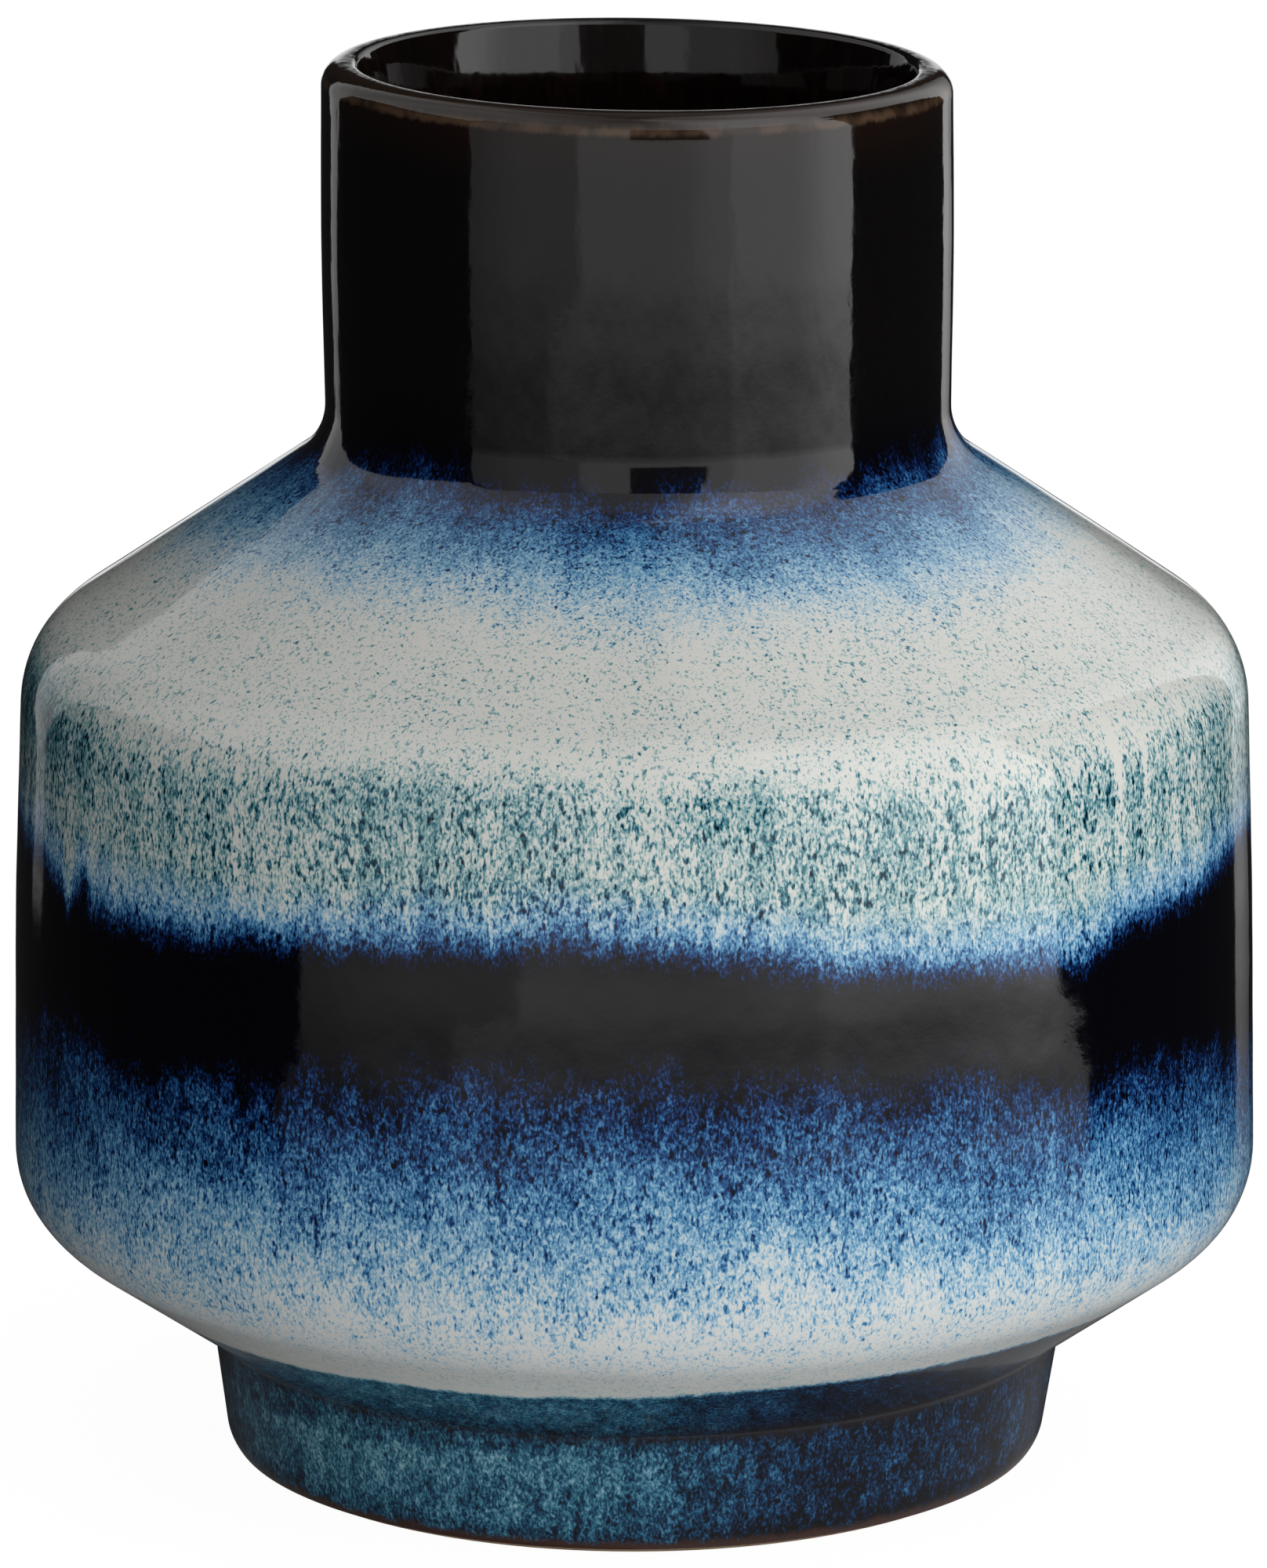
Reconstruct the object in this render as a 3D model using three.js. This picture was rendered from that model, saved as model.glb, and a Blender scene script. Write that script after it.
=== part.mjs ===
// Stoneware vase: a low, wide drum on a foot ring, with a conical shoulder and a straight neck.
//
// The clay is a stack of thrown sections, luted rim to rim while leather hard, on a base disc
// with a foot ring under it. Two glass coats lie on the clay: the coloured glaze outside and the
// liner inside. They meet on the crest of the lip. The foot's standing edge and the underside
// are bare clay.
//
// Units are millimetres and +Z is up. The origin is on the axis, on the table.

import * as THREE from 'three';

// Driving dimensions. Radii are of the clay, so the glazed pot is one coat larger.
const CLAY_HEIGHT = 250.3;
const COAT = 0.7;
const SEGMENTS = 40;

const FOOT_RADIUS = 72.3;
const FOOT_EDGE_ROUND = 5.8;
const FOOT_TOP_RADIUS = 75.8;
const FOOT_TOP = 23.7;
const FOOT_INNER_RADIUS = 62;
const FOOT_INNER_ROUND = 2;
const RECESS_RADIUS = 60.5;
const GLAZE_START = 2.2;

const BELLY_RADIUS = 110.4;
const BELLY_CORNER = 48.1;
const BELLY_ROUND = 16.5;
const WAIST_RADIUS = 109.5;
const WAIST = 102;

const SHOULDER_RADIUS = 107.8;
const SHOULDER_CORNER = 147.4;
const SHOULDER_ROUND = 19.3;

const NECK_RADIUS = 54.4;
const NECK_CORNER = 183.8;
const NECK_ROUND = 12.7;
const NECK_MIDDLE_RADIUS = 54.95;
const NECK_MIDDLE = 220;

const LIP_RADIUS = 54.6;
const LIP_ROUND = 3.6;
const CREST_RADIUS = 50.7;
const MOUTH_RADIUS = 49.7;
const MOUTH_ROUND = 0.8;

// Inside the lip the mouth flares outwards, ever more steeply, to its edge.
const FLARE_START_RADIUS = 47.3;
const FLARE_START = 231;
const FLARE_BEND_RADIUS = 47.5;
const FLARE_BEND = 240.6;
const FLARE_END_RADIUS = 48.7;
const FLARE_END = 247.4;

// The wall's inner face, from the throat down to the floor.
const THROAT_RADIUS = 48.4;
const THROAT_CORNER = 179.7;
const THROAT_ROUND = 8;
const CAVITY_RADIUS = 102.9;
const CAVITY_TOP_RADIUS = 101.5;
const CAVITY_TOP_CORNER = 143.9;
const CAVITY_TOP_ROUND = 13;
const CAVITY_LOW_RADIUS = 103.7;
const CAVITY_LOW_CORNER = 51.2;
const CAVITY_LOW_ROUND = 14;
const FLOOR_RADIUS = 61.2;

// Heights of the faces where one clay section is luted to the next.
const RECESS_TOP = 12;
const FLOOR_TOP = 21.3;
const BOWL_TOP = 50;
const BODY_TOP = 146;
const SHOULDER_TOP = 182;
const NECK_TOP = 238;

const OUTER_ARC_STEP = THREE.MathUtils.degToRad( 18 );
const INNER_ARC_STEP = THREE.MathUtils.degToRad( 30 );

const clay = { color: 0x8a6a4c, roughness: 0.85, metalness: 0 };
const outerCoat = { color: 0x6f93a3, roughness: 0.12, metalness: 0 };
const linerCoat = { color: 0x1a1412, roughness: 0.12, metalness: 0 };

const corner = ( radius, height, round = 0, step = INNER_ARC_STEP ) => ( {
	at: new THREE.Vector2( radius, height ),
	round,
	step,
} );

// Turns a list of corners into points, with each corner's round drawn as an arc.
function roundedLine( corners ) {

	const points = [ corners[ 0 ].at ];
	for ( let i = 1; i < corners.length - 1; i ++ ) {

		points.push( ...arcAt( corners[ i ], corners[ i - 1 ].at, corners[ i + 1 ].at ) );

	}

	points.push( corners.at( - 1 ).at );
	return points;

}

function arcAt( { at, round, step }, before, after ) {

	if ( round === 0 ) return [ at ];
	const back = before.clone().sub( at ).normalize();
	const ahead = after.clone().sub( at ).normalize();
	const halfOpening = Math.acos( back.dot( ahead ) ) / 2;
	const turn = Math.PI - 2 * halfOpening;
	const start = at.clone().addScaledVector( back, round / Math.tan( halfOpening ) );
	const inwards = back.clone().add( ahead ).normalize();
	const centre = at.clone().addScaledVector( inwards, round / Math.sin( halfOpening ) );
	const side = Math.sign( back.cross( ahead ) );
	const steps = Math.max( 1, Math.round( turn / step ) );
	const points = [];
	for ( let i = 0; i <= steps; i ++ ) {

		points.push( start.clone().rotateAround( centre, - side * turn * i / steps ) );

	}

	return points;

}

// Adds a point wherever the line crosses one of the heights.
function splitAt( line, heights ) {

	const points = [ line[ 0 ] ];
	for ( let i = 1; i < line.length; i ++ ) {

		const from = line[ i - 1 ];
		const to = line[ i ];
		const isBetween = ( height ) => ( height - from.y ) * ( height - to.y ) < 0;
		const distance = ( height ) => Math.abs( height - from.y );
		const crossed = heights.filter( isBetween ).sort( ( a, b ) => distance( a ) - distance( b ) );
		for ( const height of crossed ) {

			const share = ( height - from.y ) / ( to.y - from.y );
			points.push( new THREE.Vector2( THREE.MathUtils.lerp( from.x, to.x, share ), height ) );

		}

		points.push( to );

	}

	return points;

}

// The line moved sideways, to the left of its own direction, by the same distance all along.
function offsetLine( line, distance ) {

	const last = line.length - 1;
	return line.map( ( point, i ) => {

		const before = leftOf( line[ Math.max( i - 1, 0 ) ], line[ Math.max( i, 1 ) ] );
		const after = leftOf( line[ Math.min( i, last - 1 ) ], line[ Math.min( i + 1, last ) ] );
		const middle = before.clone().add( after ).normalize();
		return point.clone().addScaledVector( middle, distance / middle.dot( after ) );

	} );

}

function leftOf( from, to ) {

	const along = to.clone().sub( from ).normalize();
	return new THREE.Vector2( - along.y, along.x );

}

// The points of a line from one height to another, both ends included.
const TOUCHING = 1e-6;
const between = ( line, low, high ) => line.filter( ( { y } ) => y > low - TOUCHING && y < high + TOUCHING );

// Turns a profile round the axis, and stands it up along +Z. A profile that has no end on the
// axis is closed first.
function turned( profile ) {

	const closed = profile[ 0 ].x > 0 ? [ ...profile, profile[ 0 ] ] : profile;
	return new THREE.LatheGeometry( closed, SEGMENTS ).rotateX( Math.PI / 2 );

}

function piece( name, finish, profile ) {

	const mesh = new THREE.Mesh( turned( profile ), new THREE.MeshStandardMaterial( finish ) );
	mesh.name = name;
	return mesh;

}

// The clay's two faces, both drawn from the crest of the lip down to the axis.
const jointHeights = [ RECESS_TOP, FLOOR_TOP, BOWL_TOP, BODY_TOP, SHOULDER_TOP, NECK_TOP ];
const crest = corner( CREST_RADIUS, CLAY_HEIGHT );

const outerFace = splitAt( roundedLine( [
	crest,
	corner( LIP_RADIUS, CLAY_HEIGHT, LIP_ROUND ),
	corner( NECK_MIDDLE_RADIUS, NECK_MIDDLE ),
	corner( NECK_RADIUS, NECK_CORNER, NECK_ROUND, OUTER_ARC_STEP ),
	corner( SHOULDER_RADIUS, SHOULDER_CORNER, SHOULDER_ROUND, OUTER_ARC_STEP ),
	corner( WAIST_RADIUS, WAIST ),
	corner( BELLY_RADIUS, BELLY_CORNER, BELLY_ROUND, OUTER_ARC_STEP ),
	corner( FOOT_TOP_RADIUS, FOOT_TOP ),
	corner( FOOT_RADIUS, 0, FOOT_EDGE_ROUND ),
	corner( FOOT_INNER_RADIUS, 0, FOOT_INNER_ROUND ),
	corner( RECESS_RADIUS, RECESS_TOP ),
	corner( 0, RECESS_TOP ),
] ), [ ...jointHeights, GLAZE_START ] );

const innerFace = splitAt( roundedLine( [
	crest,
	corner( MOUTH_RADIUS, CLAY_HEIGHT, MOUTH_ROUND ),
	corner( FLARE_END_RADIUS, FLARE_END ),
	corner( FLARE_BEND_RADIUS, FLARE_BEND ),
	corner( FLARE_START_RADIUS, FLARE_START ),
	corner( THROAT_RADIUS, THROAT_CORNER, THROAT_ROUND ),
	corner( CAVITY_TOP_RADIUS, CAVITY_TOP_CORNER, CAVITY_TOP_ROUND ),
	corner( CAVITY_RADIUS, WAIST ),
	corner( CAVITY_LOW_RADIUS, CAVITY_LOW_CORNER, CAVITY_LOW_ROUND ),
	corner( FLOOR_RADIUS, FLOOR_TOP ),
	corner( 0, FLOOR_TOP ),
] ), jointHeights );

// One clay section, between two of the heights where the pot is luted.
function section( name, low, high, outer = offAxis( outerFace ), inner = offAxis( innerFace ) ) {

	return piece( name, clay, [
		...between( outer, low, high ).reverse(),
		...between( inner, low, high ),
	] );

}

function offAxis( line ) {

	return line.filter( ( { x } ) => x > 0 );

}

function buildOuterGlaze() {

	const lowest = outerFace.findIndex( ( { y } ) => y === GLAZE_START );
	const coated = outerFace.slice( 0, lowest + 1 );
	const glass = offsetLine( coated, COAT );
	return piece( 'outer_glaze', outerCoat, [ ...glass.reverse(), ...coated ] );

}

function buildLinerGlaze() {

	const glass = offsetLine( innerFace, - COAT );
	return piece( 'liner_glaze', linerCoat, [ ...innerFace.toReversed(), ...glass ] );

}

const vase = new THREE.Group();
vase.add(
	section( 'foot_ring', 0, RECESS_TOP ),
	section( 'base_disc', RECESS_TOP, FLOOR_TOP, outerFace, innerFace ),
	section( 'lower_bowl', FLOOR_TOP, BOWL_TOP ),
	section( 'body_wall', BOWL_TOP, BODY_TOP ),
	section( 'shoulder', BODY_TOP, SHOULDER_TOP ),
	section( 'neck', SHOULDER_TOP, NECK_TOP ),
	section( 'lip', NECK_TOP, CLAY_HEIGHT ),
);

// The coats are mirrored so that their triangles lie edge to edge with those of the clay.
const coats = new THREE.Group();
coats.scale.x = - 1;
coats.add( buildOuterGlaze(), buildLinerGlaze() );
vase.add( coats );

export default vase;
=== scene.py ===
import math

import bpy
import numpy as np
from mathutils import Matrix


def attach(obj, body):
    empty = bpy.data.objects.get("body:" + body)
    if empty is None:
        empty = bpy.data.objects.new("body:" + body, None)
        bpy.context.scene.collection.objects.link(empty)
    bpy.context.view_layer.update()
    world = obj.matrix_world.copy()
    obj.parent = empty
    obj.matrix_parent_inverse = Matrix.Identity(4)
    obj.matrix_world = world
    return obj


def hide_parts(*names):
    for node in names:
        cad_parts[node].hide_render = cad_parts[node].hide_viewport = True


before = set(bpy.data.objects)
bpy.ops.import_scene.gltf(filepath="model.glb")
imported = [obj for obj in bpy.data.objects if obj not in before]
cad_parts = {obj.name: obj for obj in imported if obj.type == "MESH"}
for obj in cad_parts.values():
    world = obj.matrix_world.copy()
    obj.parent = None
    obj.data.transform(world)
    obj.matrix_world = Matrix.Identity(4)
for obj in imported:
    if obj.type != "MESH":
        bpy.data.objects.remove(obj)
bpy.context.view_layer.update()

MM = 0.001
COAT = 0.7            # thickness of both glazes
CLAY_TOP = 250.3      # crest of the clay, under the glaze of the lip
GLAZE_START = 2.2     # the outer glaze ends here, just above the standing edge
SEAMS = {"recess": 12.0, "floor": 21.3, "bowl": 50.0, "body": 146.0, "shoulder": 182.0, "neck": 238.0}

# The pot's profile, as corners (radius, height, round). A straight line with a great round bulges faintly.
BULGE = 900
OUTER_CORNERS = [
    (50.7, CLAY_TOP, 0),
    (54.6, CLAY_TOP, 3.6),
    (54.95, 220, BULGE),
    (54.4, 183.8, 12.7),
    (107.8, 147.4, 19.3),
    (109.5, 102, BULGE),
    (110.4, 48.1, 16.5),
    (75.8, 23.7, 2.6),
    (72.3, 0, 5.8),
    (62, 0, 2),
    (60.5, SEAMS["recess"], 0),
    (0, SEAMS["recess"], 0),
]
INNER_CORNERS = [
    (50.7, CLAY_TOP, 0),
    (49.7, CLAY_TOP, 0.8),
    (48.7, 247.4, 18),
    (47.5, 240.6, 34),
    (47.3, 231, 60),
    (48.4, 179.7, 8),
    (101.5, 143.9, 13),
    (102.9, 102, BULGE),
    (103.7, 51.2, 14),
    (61.2, SEAMS["floor"], 3),
    (0, SEAMS["floor"], 0),
]
OUTER_STEP, INNER_STEP = 1.3, 1.6
SEGMENT_TURN = math.radians(5)
CREASE_ANGLE = math.radians(38)
SEAM_REACH = 1e-6     # a point this near a seam or the axis is on it

# Points round the pot, and how many of the wall's points the hidden side of a glaze skips.
CLAY_AROUND, OUTER_AROUND, LINER_AROUND = 120, 240, 160
OUTER_THINNING, LINER_THINNING = 4, 3

# The glazes follow a point's distance along the wall, which is WAIST_RUN at the waist.
REFERENCE_RADIUS = 100.0
WAIST_HEIGHT, WAIST_RUN = 100, 122.1

# The unevenness of a thrown pot.
SHRINK = 0.0026       # keeps the uneven pot inside its CAD box
OVAL = [(2, 0.0007, 0.6, 90), (3, 0.0004, 1.9, -60)]    # lobes, share of the radius, phase, twist
RING_SHARE, RING_PITCH, RING_WOBBLE, RING_PHASE = 0.0001, 2.3, 0.6, 0.4
RINGS_START, RINGS_FADE = 30, 30
LEAN = {0: -0.1, 28: 0.4, 38: 0.2, 50: -0.15, 100: -0.2, 146: -0.05, 165: 0.45, 184: 0.6, 200: 0.5, 251: 0.35}
TILT_DROP, TILT_TOWARDS, TILT_RADIUS = 0.75, (0.97, 0.24), 56
TILT_START, TILT_FADE = 150, 100


# ---------------------------------------------------------------- the pot's profile

def unit(v):
    return v / np.linalg.norm(v)


def arc_at(at, before, after, radius, step):
    """The points of the round that replaces a corner."""
    if radius == 0:
        return [at]
    back, ahead = unit(before - at), unit(after - at)
    half = math.acos(float(back @ ahead)) / 2
    turn = math.pi - 2 * half
    start = at + back * radius / math.tan(half)
    centre = at + unit(back + ahead) * radius / math.sin(half)
    side = math.copysign(1, back[0] * ahead[1] - back[1] * ahead[0])
    steps = max(2, math.ceil(turn * radius / step), math.ceil(turn / SEGMENT_TURN))
    arm = start - centre
    points = []
    for i in range(steps + 1):
        a = -side * turn * i / steps
        points.append(centre + np.array([
            arm[0] * math.cos(a) - arm[1] * math.sin(a),
            arm[0] * math.sin(a) + arm[1] * math.cos(a),
        ]))
    return points


def rounded_line(corners, step, heights):
    """A line through corners (radius, height, round), in steps, with a point at each height."""
    at = [np.array(c[:2], float) for c in corners]
    rough = [at[0]]
    for i in range(1, len(at) - 1):
        rough += arc_at(at[i], at[i - 1], at[i + 1], corners[i][2], step)
    rough.append(at[-1])
    line = [rough[0]]
    for a, b in zip(rough, rough[1:]):
        pieces = max(1, math.ceil(np.linalg.norm(b - a) / step))
        shares = {k / pieces for k in range(1, pieces + 1)}
        for h in heights:
            if (h - a[1]) * (h - b[1]) < 0:
                shares.add((h - a[1]) / (b[1] - a[1]))
        line += [a + (b - a) * share for share in sorted(shares)]
    return np.array(line)


def offset_line(line, distance):
    """The line moved to the left of its own direction."""
    along = np.diff(line, axis=0)
    left = np.stack([-along[:, 1], along[:, 0]], 1)
    left /= np.linalg.norm(left, axis=1)[:, None]
    before = np.vstack([left[:1], left])
    after = np.vstack([left, left[-1:]])
    middle = before + after
    middle /= np.linalg.norm(middle, axis=1)[:, None]
    return line + middle * (distance / (middle * after).sum(1))[:, None]


def arclength(line):
    return np.concatenate([[0], np.cumsum(np.linalg.norm(np.diff(line, axis=0), axis=1))])


heights = [*SEAMS.values(), GLAZE_START]
outer_face = rounded_line(OUTER_CORNERS, OUTER_STEP, heights)
inner_face = rounded_line(INNER_CORNERS, INNER_STEP, heights)


# ---------------------------------------------------------------- turning

def smooth(x):
    x = np.clip(x, 0, 1)
    return x * x * (3 - 2 * x)


def thrown(co):
    """The small unevenness of the real pot: it leans, is a little oval and faintly ringed."""
    x, y, z = co.T
    turn = np.arctan2(y, x)
    swell = 1 - SHRINK
    for lobes, share, phase, twist in OVAL:
        swell = swell + share * np.sin(lobes * turn + phase + z / twist)
    rings = np.sin(z / RING_PITCH + RING_WOBBLE * np.sin(turn + RING_PHASE))
    swell = swell + RING_SHARE * rings * smooth((z - RINGS_START) / RINGS_FADE)
    lean = np.interp(z, list(LEAN), list(LEAN.values()))
    downhill = (x * TILT_TOWARDS[0] + y * TILT_TOWARDS[1]) / TILT_RADIUS
    drop = TILT_DROP * (1 + downhill) * smooth((z - TILT_START) / TILT_FADE)
    return np.stack([x * swell + lean, y * swell, z - drop], 1)


def turned(name, profile, around, run):
    """A closed profile of (radius, height) turned round the axis. run is each point's distance
    along the pot's wall, which the glazes follow."""
    angles = np.arange(around) * 2 * math.pi / around
    rings, co, where = [], [], []
    for (radius, height), distance in zip(profile, run):
        ring = angles if radius > SEAM_REACH else angles[:1]
        rings.append(range(len(co), len(co) + len(ring)))
        for t in ring:
            co.append((radius * math.cos(t), radius * math.sin(t), height))
            where.append((REFERENCE_RADIUS * math.cos(t), -REFERENCE_RADIUS * math.sin(t), distance))
    faces = []
    for low, high in zip(rings, [*rings[1:], rings[0]]):
        for i in range(around):
            j = (i + 1) % around
            if len(low) == 1 and len(high) > 1:
                faces.append((low[0], high[j], high[i]))
            elif len(high) == 1 and len(low) > 1:
                faces.append((low[i], low[j], high[0]))
            elif len(low) > 1:
                faces.append((low[i], low[j], high[j], high[i]))
    mesh = bpy.data.meshes.new(name)
    mesh.from_pydata((thrown(np.array(co)) * MM).tolist(), [], faces)
    attribute = mesh.attributes.new("run", "FLOAT_VECTOR", "POINT")
    attribute.data.foreach_set("vector", np.array(where, np.float32).ravel())
    mesh.shade_smooth()
    mesh.set_sharp_from_angle(angle=CREASE_ANGLE)
    piece = bpy.data.objects.new(name, mesh)
    bpy.context.scene.collection.objects.link(piece)
    return piece


def between(line, low, high):
    return line[(line[:, 1] > low - SEAM_REACH) & (line[:, 1] < high + SEAM_REACH)]


def section(name, low, high, outer, inner):
    """The clay between two heights."""
    profile = np.vstack([between(outer, low, high)[::-1], between(inner, low, high)])
    return turned(name, profile, CLAY_AROUND, profile[:, 1])


def off_axis(line):
    return line[line[:, 0] > SEAM_REACH]


def every(line, n):
    """Every nth point of a line, with both its ends."""
    keep = np.arange(len(line)) % n == 0
    keep[-1] = True
    return keep


def build_outer_glaze():
    lowest = int(np.argmax(np.abs(outer_face[:, 1] - GLAZE_START) < SEAM_REACH))
    clay_side = outer_face[:lowest + 1]
    glass = offset_line(clay_side, COAT)
    run = arclength(glass)
    waist = int(np.argmin(np.abs(glass[:, 1] - WAIST_HEIGHT)))
    run = WAIST_RUN + run[waist] - run
    thin = every(clay_side, OUTER_THINNING)
    profile = np.vstack([glass[::-1], clay_side[thin]])
    return turned("outer_glaze_coat", profile, OUTER_AROUND, np.concatenate([run[::-1], run[thin]]))


def build_liner_glaze():
    glass = offset_line(inner_face, -COAT)
    run = arclength(inner_face)
    thin = every(inner_face, LINER_THINNING)
    profile = np.vstack([inner_face[thin][::-1], glass])
    return turned("liner_glaze_coat", profile, LINER_AROUND, np.concatenate([run[thin][::-1], run]))


# ---------------------------------------------------------------- shader nodes

class Nodes:
    """Short ways to add nodes to a tree. A number or a socket may be given for any input."""

    def __init__(self, tree):
        self.tree = tree
        tree.nodes.clear()

    def add(self, kind, inputs, **settings):
        node = self.tree.nodes.new(kind)
        for key, value in settings.items():
            setattr(node, key, value)
        for key, value in inputs.items():
            if isinstance(value, bpy.types.NodeSocket):
                self.tree.links.new(value, node.inputs[key])
            else:
                node.inputs[key].default_value = value
        return node

    def math(self, operation, a, b=0.0, clamp=False):
        return self.add("ShaderNodeMath", {0: a, 1: b}, operation=operation, use_clamp=clamp).outputs[0]

    def vector(self, operation, a, b=(0, 0, 0), output="Vector"):
        return self.add("ShaderNodeVectorMath", {0: a, 1: b}, operation=operation).outputs[output]

    def sum(self, *terms):
        total = terms[0]
        for term in terms[1:]:
            total = self.math("ADD", total, term)
        return total

    def times(self, *factors):
        total = factors[0]
        for factor in factors[1:]:
            total = self.math("MULTIPLY", total, factor)
        return total

    def step(self, value, start, end, low=0.0, high=1.0, kind="SMOOTHSTEP"):
        """low before start, high after end."""
        return self.add("ShaderNodeMapRange", {
            "Value": value, "From Min": start, "From Max": end, "To Min": low, "To Max": high,
        }, interpolation_type=kind).outputs[0]

    def window(self, value, rise_start, rise_end, fall_start, fall_end):
        """1 between the rise and the fall, and 0 outside them."""
        return self.times(self.step(value, rise_start, rise_end), self.step(value, fall_end, fall_start))

    def noise(self, where, scale, detail=2.0, roughness=0.5, distortion=0.0, stretch=None, shift=0.0):
        """A noise of about one wave per 1/scale, stretched along the pot's wall."""
        if stretch:
            where = self.vector("MULTIPLY", where, (1, 1, 1 / stretch))
        if shift:
            where = self.vector("ADD", where, (shift, shift, shift))
        return self.add("ShaderNodeTexNoise", {
            "Vector": where, "Scale": scale, "Detail": detail, "Roughness": roughness,
            "Distortion": distortion,
        }).outputs[0]

    def ramp(self, value, stops):
        node = self.add("ShaderNodeValToRGB", {"Fac": value})
        elements = node.color_ramp.elements
        elements.remove(elements[1])
        for i, (position, colour) in enumerate(stops):
            element = elements[0] if i == 0 else elements.new(position)
            element.position = position
            grey = isinstance(colour, (int, float))
            element.color = (colour, colour, colour, 1) if grey else (*colour, 1)
        return node.outputs[0]

    def mix(self, share, a, b):
        node = self.add("ShaderNodeMix", {}, data_type="RGBA")
        for key, value in (("Factor_Float", share), ("A_Color", a), ("B_Color", b)):
            socket = next(s for s in node.inputs if s.identifier == key)
            if isinstance(value, bpy.types.NodeSocket):
                self.tree.links.new(value, socket)
            else:
                socket.default_value = value if key == "Factor_Float" else (*value, 1)
        return next(s for s in node.outputs if s.identifier == "Result_Color")

    def stained(self, colour, stains):
        """The colour with each (share, stain) laid over it in turn."""
        for share, stain in stains:
            colour = self.mix(share, colour, stain)
        return colour

    def spot(self, where, degrees, run, width, length):
        """1 at one place on the wall, falling to 0 at width and length from it, in mm."""
        t = math.radians(degrees)
        centre = (REFERENCE_RADIUS * math.cos(t), REFERENCE_RADIUS * math.sin(t), run)
        off = self.vector("SUBTRACT", where, centre)
        scaled = self.vector("MULTIPLY", off, (1 / width, 1 / width, 1 / length))
        return self.step(self.vector("LENGTH", scaled, output="Value"), 1.0, 0.0)

    def wall(self):
        """A point's place on the unrolled wall: where it is round the pot, and its run."""
        return self.add("ShaderNodeAttribute", {}, attribute_name="run").outputs["Vector"]

    def object_place(self):
        return self.add("ShaderNodeTexCoord", {}).outputs["Object"]

    def finish(self, inputs, height=None, depth=0.0):
        """The surface, with height as relief of the given depth in mm."""
        if height is not None:
            inputs["Normal"] = self.add("ShaderNodeBump", {
                "Height": height, "Distance": depth * MM, "Strength": 1.0,
            }).outputs[0]
        surface = self.add("ShaderNodeBsdfPrincipled", inputs)
        output = self.add("ShaderNodeOutputMaterial", {})
        self.tree.links.new(surface.outputs[0], output.inputs["Surface"])


def material(name):
    made = bpy.data.materials.new(name)
    made.use_nodes = True
    return made, Nodes(made.node_tree)


# ---------------------------------------------------------------- the outer glaze

# Noises, as (scale per mm, detail, roughness, distortion, stretch up the wall, shift).
CLOUD = (0.035, 2, 0.5)
DRIFT = (0.11, 2, 0.55, 0.3, 1.6, 7.0)
MOTTLE = (0.20, 3, 0.6, 0.8, 1.5, 19.0)
FINGERS = (0.30, 2, 0.5, 0.0, 14.0, 3.0)
FLECK = (1.05, 2, 0.62, 1.2, 1.8)
GRAIN = (2.3, 1, 0.5, 0.3, 1.6, 11.0)
COARSE_SPECKS = (1.15, 1, 0.5, 0.2, 2.4, 37.0)
FINE_SPECKS = (2.1, 1, 0.5, 0.2, 2.4, 53.0)
RUST_CLOUD = (0.5, 3, 0.6, 0, 2.0, 5.0)
LIP_WEAR = (0.10, 3, 0.6, 0.0, 1.0, 41.0)
GLOSS_CLOUD = (0.6, 2, 0.6)
THROWING = (0.085, 2, 0.5, 0.0, 1.4, 23.0)
DIMPLES = (0.42, 1, 0.5, 0.0, 1.0, 29.0)
ORANGE_PEEL = (1.3, 1, 0.5, 0.0, 1.0, 31.0)

# The glaze's two palettes by its tone: 0 is black and 1 is ivory.
COBALT = [
    (0.0, (0.0012, 0.0012, 0.0028)), (0.12, (0.0014, 0.0042, 0.024)), (0.25, (0.0036, 0.023, 0.108)),
    (0.38, (0.016, 0.084, 0.245)), (0.52, (0.058, 0.228, 0.465)), (0.68, (0.215, 0.460, 0.668)),
    (0.84, (0.510, 0.680, 0.780)), (1.0, (0.790, 0.810, 0.790)),
]
TEAL = [
    (0.0, (0.0014, 0.0015, 0.0028)), (0.12, (0.0020, 0.0080, 0.019)), (0.25, (0.0040, 0.042, 0.080)),
    (0.38, (0.015, 0.112, 0.165)), (0.52, (0.074, 0.250, 0.305)), (0.68, (0.255, 0.455, 0.480)),
    (0.84, (0.550, 0.670, 0.650)), (1.0, (0.820, 0.815, 0.770)),
]

# The changes of tone up the wall, as (start, end, change), at four uneven edges.
FOOT_TONE = 0.13
LOW_STEPS = [(26.5, 29.5, -0.14), (31, 50, 0.10), (51.2, 54.8, 0.93)]
BAND_STEPS = [(71, 118, -0.84, "LINEAR"), (111, 126, -0.44)]
MIDDLE_STEPS = [(130.5, 144, 1.02), (144, 153, 0.12), (163, 171, 0.22)]
TOP_STEPS = [(199, 233, -0.80, "LINEAR"), (229, 243, -0.56)]

# How far each noise moves those edges, in mm, the waves in them as (crests, mm, degrees of a crest),
# and a shift. Degrees go round the pot from 0 on the right, through 90 in front, to 180 on the left.
LOW_NOISE, LOW_WAVES = {"cloud": 4, "fingers": 2.2}, [(1, 3.2, 185)]
BAND_NOISE, BAND_WAVES = {"cloud": 16, "drift": 14, "fingers": 6}, [(1, -3.8, 109), (2, -4.5, 84)]
MIDDLE_NOISE, MIDDLE_WAVES = {"cloud": 7, "fingers": 5, "drift": 5}, [(4, -3.8, 97), (1, 1.4, 20)]
TOP_NOISE, TOP_WAVES = {"cloud": 12, "drift": 8}, [(1, 3.0, 180), (2, 1.6, 40), (3, 1.2, 60)]
BAND_SHIFT, MIDDLE_SHIFT, TOP_SHIFT = 7, 0.4, 1.3

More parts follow.
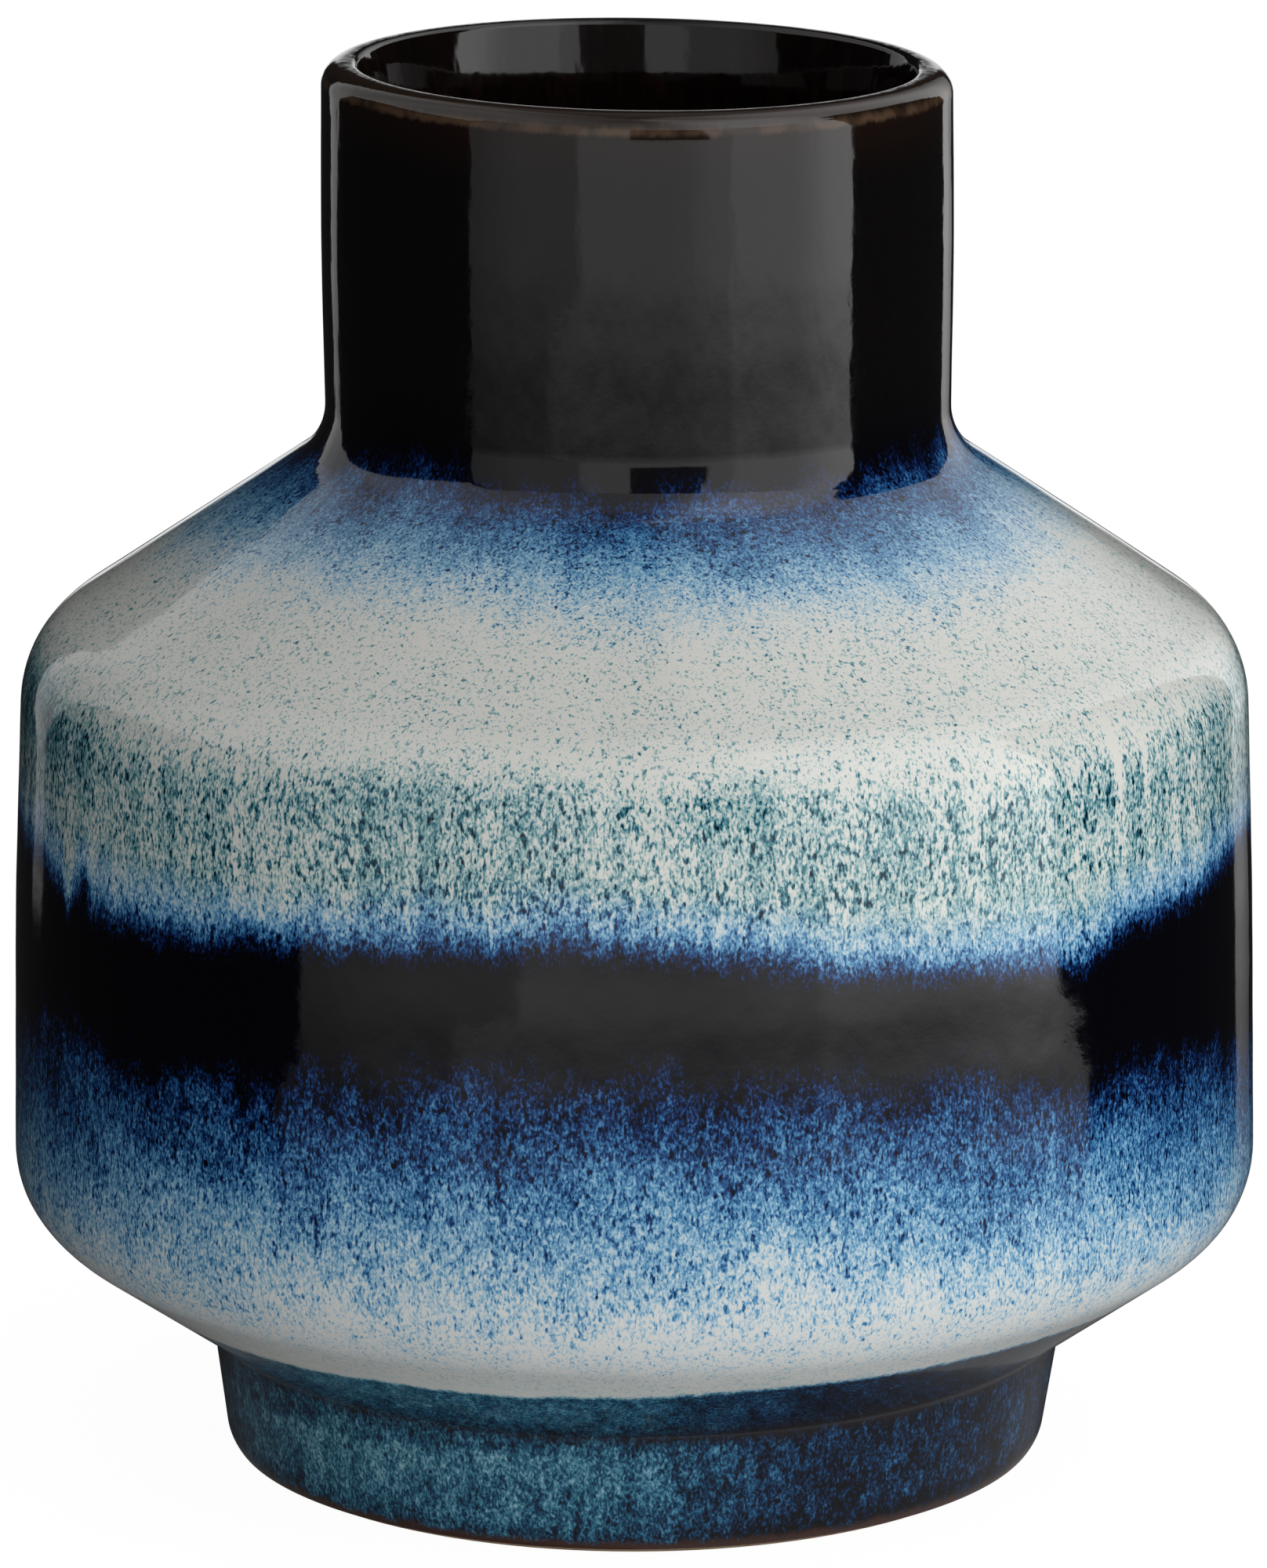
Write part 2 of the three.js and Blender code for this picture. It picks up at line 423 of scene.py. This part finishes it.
# Spots, as (degrees, run, width, length, strength). A pale drip with a dark gap beside it breaks the
# upper edge of the dark band. Above the band are three darker patches and two white drips.
EDGE_DRIPS = [(153.5, 146, 3.0, 26, 9), (150.0, 138, 3.0, 12, -3)]
PATCHES = [
    (167, 163, 62, 15, -0.36), (118, 166, 30, 12, -0.10), (40, 160, 16, 9, -0.14),
    (40.5, 163, 2.2, 13, 0.55), (36.5, 160, 1.8, 11, 0.45),
]

# The foot is paler on one side, round PALE_SIDE degrees, and palest just under its upper edge.
PALE_SIDE, PALE_SIDE_COSINES = 125, (0.40, 1.0)
FOOT_END = (50, 54)
PALE_SIDE_TONE, PALE_SIDE_DROP = 0.28, 2.6
FOOT_MOTTLE = 0.45
FOOT_HEM, FOOT_HEM_TONE = (13.5, 8.5), -0.14
FOOT_BROW, FOOT_BROW_TONE = (14, 22, 25.5, 28.5), 0.07
STREAKS, STREAK_TONE = (138, 146, 160, 176), 0.75

# Crystals and specks. Specks thicken up the wall by SPECK_STEPS and gather where the noises are high.
FLECK_RANGE, GRAIN_RANGE = (0.34, 0.66), (0.30, 0.70)
CRYSTAL_RUN, FLECK_TONE, GRAIN_TONE = (150, 205), (0.26, 0.20), (0.20, 0.16)
MOTTLE_TONE = 0.22
SPECK_STEPS = [(142, 150, 1.0), (163, 173, -0.75), (52, 57, 0.2), (60, 76, 0.3), (196, 206, -0.6)]
SPECK_NOISE = {"drift": 2.0, "fingers": 1.2, "mottle": 1.6}
SPECK_GAIN = 0.055
SPECKS = [(COARSE_SPECKS, (0.585, 0.78), 0.40), (FINE_SPECKS, (0.565, 0.73), 0.32)]
SPECK_DEPTHS = [(54, 74, 0.25, 0.75), (138, 150, 0, 0.25)]

# Where the palette is teal and not cobalt.
TEAL_FOOT, TEAL_FOOT_SHARES = (55, 66), (0.40, 0.75)
TEAL_MIDDLE, TEAL_TOP = (141, 151), (194, 212)

# Warm iron: the neck is a brown black, and the glaze breaks to brown where it is thin.
NECK_RUN, NECK_TONES = (232, 250), (0.10, -0.05)
DARK_RUST, PALE_RUST = (0.0024, 0.0022, 0.0026), (0.0050, 0.0040, 0.0038)
LIP_GLOW, LIP_GLOW_SHARE, LIP_BROWN = (284, 297), 0.6, (0.014, 0.0065, 0.0042)
BREAK_LINE, BREAK_BROWN = (294.6, 295.6, 295.8, 297.4), (0.085, 0.050, 0.030)
BREAK_FINGERS, BREAK_MOTTLE = 0.8, 1.6
WEAR_RANGE, WEAR_SHARES = (0.36, 0.60), (0.25, 0.9)
CREST, CREST_SHARE, CREST_BROWN = (296.5, 298.5), 0.7, (0.030, 0.018, 0.013)
HEM, HEM_MOTTLE, HEM_BROWN = (9.4, 7.6), 3.0, (0.045, 0.017, 0.010)
FOLD_START, FOLD_DRIFT, FOLD_END, FOLD_SIDE = (26.6, 29.2), 4, (39, 31), 4
FOLD_SIDES, FOLD_SHARES, FOLD_BROWN = (0.1, 0.9), (0.85, 0.50), (0.0125, 0.0088, 0.0088)

GLASS_IOR = 1.5
MIDDLE_OF_NOISE = (0.3, 0.7)
OUTER_ROUGHNESS, OUTER_RELIEF = (0.035, 0.075), 0.10
DIMPLE_SHARE, PEEL_SHARE = 0.06, 0.028


def wave(n, turn, crests, amplitude, peak):
    """A wave round the pot, in mm, with one of its crests at peak degrees."""
    phase = n.math("COSINE", n.math("ADD", n.times(turn, crests), -crests * math.radians(peak)))
    return n.times(phase, amplitude)


def glaze_tone(n, where, run, turn, side, noises):
    """The glaze's lightness, and the uneven edges above and below its middle zone."""

    def edge(moved_by, waves, *more):
        shifts = [n.times(noises[name], mm) for name, mm in moved_by.items()]
        return n.sum(run, *shifts, *(wave(n, turn, *w) for w in waves), *more)

    def steps(at, changes):
        return [n.step(at, start, end, 0, change, *kind) for start, end, change, *kind in changes]

    def spots(table):
        return [n.times(n.spot(where, *place), strength) for *place, strength in table]

    low = edge(LOW_NOISE, LOW_WAVES, n.times(side, PALE_SIDE_DROP))
    band = edge(BAND_NOISE, BAND_WAVES, BAND_SHIFT)
    middle = edge(MIDDLE_NOISE, MIDDLE_WAVES, *spots(EDGE_DRIPS), MIDDLE_SHIFT)
    top = edge(TOP_NOISE, TOP_WAVES, TOP_SHIFT)
    foot = n.step(run, *FOOT_END, 1, 0)
    tone = n.sum(
        FOOT_TONE, *steps(low, LOW_STEPS), *steps(band, BAND_STEPS), *steps(middle, MIDDLE_STEPS),
        *steps(top, TOP_STEPS), *spots(PATCHES),
        n.times(foot, side, PALE_SIDE_TONE), n.times(foot, noises["mottle"], FOOT_MOTTLE),
        n.step(run, *FOOT_HEM, 0, FOOT_HEM_TONE), n.times(side, n.window(run, *FOOT_BROW), FOOT_BROW_TONE),
        n.times(noises["fingers"], n.window(run, *STREAKS), STREAK_TONE),
    )
    return tone, middle, top


def glaze_specks(n, skin, run, noises):
    """Dark specks, as the tone they take away."""
    density = n.sum(
        *(n.step(run, start, end, 0, change) for start, end, change in SPECK_STEPS),
        *(n.times(noises[name], share) for name, share in SPECK_NOISE.items()),
    )
    gain = n.times(density, SPECK_GAIN)
    specks = n.sum(*(
        n.times(n.step(n.sum(n.noise(skin, *shape), gain), *ends), depth) for shape, ends, depth in SPECKS
    ))
    return n.times(specks, n.sum(*(n.step(run, *depth) for depth in SPECK_DEPTHS)))


def glaze_stains(n, where, run, tone, side, noises):
    """The browns that lie over the palette, each with its share."""
    rust = n.mix(n.noise(where, *RUST_CLOUD), DARK_RUST, PALE_RUST)
    thin = n.sum(run, n.times(noises["fingers"], BREAK_FINGERS), n.times(noises["mottle"], BREAK_MOTTLE))
    worn = n.step(n.noise(where, *LIP_WEAR), *WEAR_RANGE, *WEAR_SHARES)
    fold = n.times(
        n.step(n.sum(run, n.times(noises["drift"], FOLD_DRIFT)), *FOLD_START),
        n.step(n.sum(run, n.times(side, FOLD_SIDE)), *FOLD_END),
        n.step(side, *FOLD_SIDES, *FOLD_SHARES),
    )
    return [
        (n.times(n.step(run, *NECK_RUN), n.step(tone, *NECK_TONES)), rust),
        (n.step(run, *LIP_GLOW, 0, LIP_GLOW_SHARE), LIP_BROWN),
        (n.times(n.window(thin, *BREAK_LINE), worn), BREAK_BROWN),
        (n.step(run, *CREST, 0, CREST_SHARE), CREST_BROWN),
        (n.step(n.sum(run, n.times(noises["mottle"], HEM_MOTTLE)), *HEM), HEM_BROWN),
        (fold, FOLD_BROWN),
    ]


def outer_glaze_material():
    made, n = material("reactive_glaze")
    where = n.wall()
    skin = n.vector("MULTIPLY", n.object_place(), (1 / MM, 1 / MM, 1 / MM))
    xyz = n.add("ShaderNodeSeparateXYZ", {0: where}).outputs
    run = xyz["Z"]
    turn = n.math("ARCTAN2", xyz["Y"], xyz["X"])
    noises = {
        name: n.math("SUBTRACT", n.noise(where, *shape), 0.5)
        for name, shape in (("cloud", CLOUD), ("drift", DRIFT), ("mottle", MOTTLE), ("fingers", FINGERS))
    }
    side = n.step(wave(n, turn, 1, 1.0, PALE_SIDE), *PALE_SIDE_COSINES)

    tone, middle, top = glaze_tone(n, where, run, turn, side, noises)
    fleck = n.step(n.noise(skin, *FLECK), *FLECK_RANGE, -0.5, 0.5)
    grain = n.step(n.noise(skin, *GRAIN), *GRAIN_RANGE, -0.5, 0.5)
    tone = n.sum(
        tone, n.times(fleck, n.step(run, *CRYSTAL_RUN, *FLECK_TONE)),
        n.times(grain, n.step(run, *CRYSTAL_RUN, *GRAIN_TONE)), n.times(noises["mottle"], MOTTLE_TONE),
    )
    tone = n.math("SUBTRACT", tone, glaze_specks(n, skin, run, noises))

    teal = n.sum(
        n.times(n.step(run, *TEAL_FOOT, 1, 0), n.step(side, 0, 1, *TEAL_FOOT_SHARES)),
        n.step(middle, *TEAL_MIDDLE), n.step(top, *TEAL_TOP, 0, -1),
    )
    colour = n.mix(n.math("ADD", teal, 0.0, clamp=True), n.ramp(tone, COBALT), n.ramp(tone, TEAL))
    colour = n.stained(colour, glaze_stains(n, where, run, tone, side, noises))

    ripple = n.sum(
        n.noise(where, *THROWING), n.times(n.noise(where, *DIMPLES), DIMPLE_SHARE),
        n.times(n.noise(skin, *ORANGE_PEEL), PEEL_SHARE),
    )
    roughness = n.step(n.noise(where, *GLOSS_CLOUD), *MIDDLE_OF_NOISE, *OUTER_ROUGHNESS, "LINEAR")
    n.finish({"Base Color": colour, "Roughness": roughness, "IOR": GLASS_IOR}, ripple, OUTER_RELIEF)
    return made


# ---------------------------------------------------------------- the liner and the clay

LINER_CLOUD, LINER_GLOSS = (0.18, 3, 0.65, 0.4, 1.5), (0.5, 2)
LINER_THROWING = (0.09, 2, 0.5, 0.0, 1.3, 3.0)
LINER_BROWNS = [
    (0.3, (0.0022, 0.0014, 0.0012)), (0.55, (0.0050, 0.0026, 0.0020)), (0.75, (0.013, 0.0060, 0.0040)),
]
LINER_ROUGHNESS, LINER_RELIEF = (0.05, 0.09), 0.12

# Noises of the clay have a scale per metre.
CLAY_GRAIN, CLAY_RINGS, CLAY_IRON = (900, 4, 0.6), (90, 3, 0.5), (1500, 1)
DARK_CLAY, PALE_CLAY = (0.26, 0.165, 0.095), (0.40, 0.275, 0.175)
RING_CLAY_SHARE, RING_CLAY = 0.4, (0.22, 0.13, 0.075)
IRON_RANGE, IRON_SHARE, IRON = (0.70, 0.76), 0.7, (0.06, 0.03, 0.02)
CLAY_ROUGHNESS, CLAY_RELIEF = (0.78, 0.92), 0.12


def liner_material():
    made, n = material("liner_glaze")
    where = n.wall()
    colour = n.ramp(n.noise(where, *LINER_CLOUD), LINER_BROWNS)
    ripple = n.noise(where, *LINER_THROWING)
    roughness = n.step(n.noise(where, *LINER_GLOSS), *MIDDLE_OF_NOISE, *LINER_ROUGHNESS, "LINEAR")
    n.finish({"Base Color": colour, "Roughness": roughness, "IOR": GLASS_IOR}, ripple, LINER_RELIEF)
    return made


def clay_material():
    made, n = material("bare_stoneware")
    where = n.object_place()
    grain = n.noise(where, *CLAY_GRAIN)
    colour = n.stained(n.mix(grain, DARK_CLAY, PALE_CLAY), [
        (n.times(n.noise(where, *CLAY_RINGS), RING_CLAY_SHARE), RING_CLAY),
        (n.step(n.noise(where, *CLAY_IRON), *IRON_RANGE, 0, IRON_SHARE), IRON),
    ])
    roughness = n.step(grain, *MIDDLE_OF_NOISE, *CLAY_ROUGHNESS, "LINEAR")
    n.finish({"Base Color": colour, "Roughness": roughness}, grain, CLAY_RELIEF)
    return made


# ---------------------------------------------------------------- the pieces

clay = clay_material()
glaze = outer_glaze_material()
liner = liner_material()
at = SEAMS
walls = off_axis(outer_face), off_axis(inner_face)
faces = outer_face, inner_face
pieces = [
    (section("foot_ring_clay", 0, at["recess"], *walls), "foot_ring", "bare_clay", clay),
    (section("base_disc_clay", at["recess"], at["floor"], *faces), "base_disc", "bare_clay", clay),
    (section("lower_bowl_clay", at["floor"], at["bowl"], *walls), "lower_bowl", "clay_body", clay),
    (section("body_wall_clay", at["bowl"], at["body"], *walls), "body_wall", "clay_body", clay),
    (section("shoulder_clay", at["body"], at["shoulder"], *walls), "shoulder", "clay_body", clay),
    (section("neck_clay", at["shoulder"], at["neck"], *walls), "neck", "clay_body", clay),
    (section("lip_clay", at["neck"], CLAY_TOP, *walls), "lip", "clay_body", clay),
    (build_outer_glaze(), "outer_glaze", "outer_glaze", glaze),
    (build_liner_glaze(), "liner_glaze", "liner_glaze", liner),
]
for piece, node, slot, finish in pieces:
    piece.data.materials.append(finish)
    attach(piece, "root")
    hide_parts(node)


# ---------------------------------------------------------------- studio

FLOOR_HALF = 8
FLOOR_GREY, FLOOR_GLOW = (0.08, 0.08, 0.08, 1), 0.97

# The studio as the gloss reflects it, in degrees round the pot, 0 in front and 90 on the right, and
# degrees up. A big soft box stands in front. Over it and beside it, the veil is a paler wall and ceiling.
VEIL_EDGE_SPAN, VEIL_EDGE_BASE, VEIL_EDGE_BLUR = 80, -20, 0.8
VEIL_EDGE = [
    (-180, 62), (-158, 60), (-151, 46), (-149.5, 2), (-147, 2), (-138, 14), (-128, 34), (-120, 41),
    (-109, 46), (-86, 48), (-66, 48), (-63, 57), (89, 57), (91, 65), (101, 65), (120, 56), (129, 50),
    (136, 41), (144, 28), (147, 21), (150, 2), (163, 2), (168, 40), (175, 58), (180, 60),
]
VEIL_LIGHT_SPAN = 2
VEIL_LIGHT = [
    (-180, 0.12), (-165, 0.12), (-150, 0.55), (-143, 0.42), (-130, 0.4), (-120, 0.6), (-60, 0.7),
    (-20, 0.5), (10, 0.55), (45, 1.9), (80, 1.8), (110, 1.0), (146, 0.95), (154, 0.75), (160, 0.4),
    (167, 0.12), (180, 0.12),
]
VEIL_ZENITH = (60, 82, 1.0, 0.5)
LEFT_VEIL_FLOOR, LEFT_SIDE = (-13.8, -12.2), (-20, 20)
FADE = (-16.2, -9.3, 0.18, 1.12)

# The box's sides spread below BOX_SPREAD. Lamps behind its cloth make a ragged brighter middle.
BOX_SPREAD, BOX_LEFT, BOX_RIGHT, BOX_BLUR = (-14.5, -12.5), (-69.0, -63.0), (92.0, 84.0), 0.5
BOX_FOOT = (-21, -19)
RAGGED_AROUND, RAGGED_UP, RAGGED_DETAIL, RAGGED_ROUGHNESS, RAGGED_REACH = 0.30, 9.0, 3.0, 0.65, 9.0
LAMP_LEFT, LAMP_LEFT_LIGHT, LAMP_LEFT_BREAK = (-22.0, -20.0), 0.30, (-11.2, -12.3, 0, 12)
LAMP_RIGHT, LAMP_RIGHT_LIGHT = (33.5, 35.0), 0.28
BOX_SLOPES = [(-66, -40, 0.16), (12, 30, 0.26), (56, 78, 0.6)]
BOX_BASE_LIGHT = 0.26
GAP_AROUND, GAP_UP, GAP_LIGHT = (-3.6, -2.6, 24.4, 25.4), (-7, -5, 36.4, 37.4), 0.08
BACKDROP_SIDE, BACKDROP_UP = (171, 173), (-9, -7, 4, 12)
GROUND_UP = (-17, -24)
GROUND = [(-180, 0.05), (-100, 0.08), (-30, 0.20), (30, 0.27), (120, 0.27), (180, 0.15)]
STUDIO_BASE = 0.012

# The soft light on everything that is not a reflection, as (degrees round, degrees up, power, light).
SOFT_BASE = 0.02
SOFT_LOBES = [(32, 5, 1.0, 1.15), (120, 45, 1.0, 0.35), (60, -45, 4.0, 0.15), (170, 20, 2.0, 0.30)]

SENSOR_MM, LENS_MM = 36, 219.55
CLIP_M = (0.05, 60)
CAMERA_AT, CAMERA_PITCH = (-0.00028, -1.65137, 0.52280), 13.683


def build_floor():
    s = FLOOR_HALF
    mesh = bpy.data.meshes.new("floor")
    mesh.from_pydata([(-s, -s, 0), (s, -s, 0), (s, s, 0), (-s, s, 0)], [], [(0, 1, 2, 3)])
    floor = bpy.data.objects.new("floor", mesh)
    bpy.context.scene.collection.objects.link(floor)
    floor.visible_glossy = floor.visible_diffuse = floor.visible_shadow = False
    made, n = material("pale_floor")
    n.finish({
        "Base Color": FLOOR_GREY, "Roughness": 0.9, "Specular IOR Level": 0.0,
        "Emission Color": (1, 1, 1, 1), "Emission Strength": FLOOR_GLOW,
    })
    mesh.materials.append(made)


def reflected_studio(n, direction):
    """The light that a reflection sees in a direction."""
    xyz = n.add("ShaderNodeSeparateXYZ", {0: direction}).outputs
    degree = 180 / math.pi
    around = n.times(n.math("ARCTAN2", xyz["X"], n.times(xyz["Y"], -1)), degree)
    up = n.times(n.math("ARCSINE", xyz["Z"]), degree)
    share = n.sum(n.times(around, 1 / 360), 0.5)

    def by_angle(stops, span):
        """A value that changes round the pot. span is more than any of its values."""
        grey = n.ramp(share, [((angle + 180) / 360, value / span) for angle, value in stops])
        return n.times(n.add("ShaderNodeSeparateColor", {0: grey}).outputs[0], span)

    fade = n.step(up, *FADE)
    veil_edge = n.sum(by_angle(VEIL_EDGE, VEIL_EDGE_SPAN), VEIL_EDGE_BASE)
    veil = n.times(
        n.step(n.math("SUBTRACT", up, veil_edge), -VEIL_EDGE_BLUR, VEIL_EDGE_BLUR),
        n.math("MAXIMUM", n.step(up, *LEFT_VEIL_FLOOR), n.step(around, *LEFT_SIDE)),
    )
    veil_light = n.times(by_angle(VEIL_LIGHT, VEIL_LIGHT_SPAN), n.step(up, *VEIL_ZENITH))

    past_left = n.math("SUBTRACT", around, n.step(up, *BOX_SPREAD, *BOX_LEFT))
    past_right = n.math("SUBTRACT", around, n.step(up, *BOX_SPREAD, *BOX_RIGHT))
    box = n.times(
        n.step(past_left, -BOX_BLUR, BOX_BLUR), n.step(past_right, BOX_BLUR, -BOX_BLUR),
        n.step(up, *BOX_FOOT), n.step(veil, 1, 0),
    )
    ragged = n.add("ShaderNodeTexNoise", {
        "Vector": n.add("ShaderNodeCombineXYZ", {
            0: n.times(around, RAGGED_AROUND), 1: n.times(up, RAGGED_UP),
        }).outputs[0],
        "Scale": 1.0, "Detail": RAGGED_DETAIL, "Roughness": RAGGED_ROUGHNESS,
    }).outputs[0]
    middle = n.sum(around, n.times(ragged, RAGGED_REACH), -RAGGED_REACH / 2)
    box_light = n.sum(
        *(n.times(n.step(around, start, end), light) for start, end, light in BOX_SLOPES),
        n.times(n.step(n.sum(middle, n.step(up, *LAMP_LEFT_BREAK)), *LAMP_LEFT), LAMP_LEFT_LIGHT),
        n.times(n.step(middle, *LAMP_RIGHT), LAMP_RIGHT_LIGHT), BOX_BASE_LIGHT,
    )
    gap = n.times(n.window(around, *GAP_AROUND), n.window(up, *GAP_UP))
    backdrop = n.times(n.step(n.math("ABSOLUTE", around), *BACKDROP_SIDE), n.window(up, *BACKDROP_UP))
    return n.sum(
        STUDIO_BASE, n.times(n.step(up, *GROUND_UP), by_angle(GROUND, 1)), backdrop,
        n.times(veil, veil_light, fade),
        n.times(box, box_light, fade, n.step(gap, 0, 1, 1.0, GAP_LIGHT, "LINEAR")),
    )


def soft_light(n, direction):
    def lobe(degrees_round, degrees_up, power, light):
        a, e = math.radians(degrees_round), math.radians(degrees_up)
        towards = (math.sin(a) * math.cos(e), -math.cos(a) * math.cos(e), math.sin(e))
        facing = n.math("MAXIMUM", n.vector("DOT_PRODUCT", direction, towards, "Value"), 0.0)
        return n.times(n.math("POWER", facing, power), light)

    return n.sum(SOFT_BASE, *(lobe(*row) for row in SOFT_LOBES))


def build_studio_light():
    """One world holds the studio: white to the camera, soft boxes to reflections, soft light else."""
    world = bpy.data.worlds.new("studio")
    bpy.context.scene.world = world
    world.use_nodes = True
    n = Nodes(world.node_tree)
    direction = n.add("ShaderNodeTexCoord", {}).outputs["Generated"]
    path = n.add("ShaderNodeLightPath", {}).outputs
    is_glossy, is_camera = path["Is Glossy Ray"], path["Is Camera Ray"]
    level = n.sum(
        n.times(is_glossy, reflected_studio(n, direction)),
        n.times(n.math("SUBTRACT", 1.0, is_glossy), soft_light(n, direction)),
    )
    level = n.sum(n.times(level, n.math("SUBTRACT", 1.0, is_camera)), is_camera)
    background = n.add("ShaderNodeBackground", {"Color": (1, 1, 1, 1), "Strength": level})
    output = n.add("ShaderNodeOutputWorld", {})
    n.tree.links.new(background.outputs[0], output.inputs["Surface"])


def build_camera():
    data = bpy.data.cameras.new("camera")
    data.sensor_width = SENSOR_MM
    data.lens = LENS_MM
    data.clip_start, data.clip_end = CLIP_M
    camera = bpy.data.objects.new("camera", data)
    camera.location = CAMERA_AT
    camera.rotation_euler = (math.radians(90 - CAMERA_PITCH), 0, 0)
    bpy.context.scene.collection.objects.link(camera)
    bpy.context.scene.camera = camera


build_floor()
build_studio_light()
build_camera()
view = bpy.context.scene.view_settings
view.view_transform = "Standard"
view.look = "None"
view.exposure, view.gamma = 0, 1
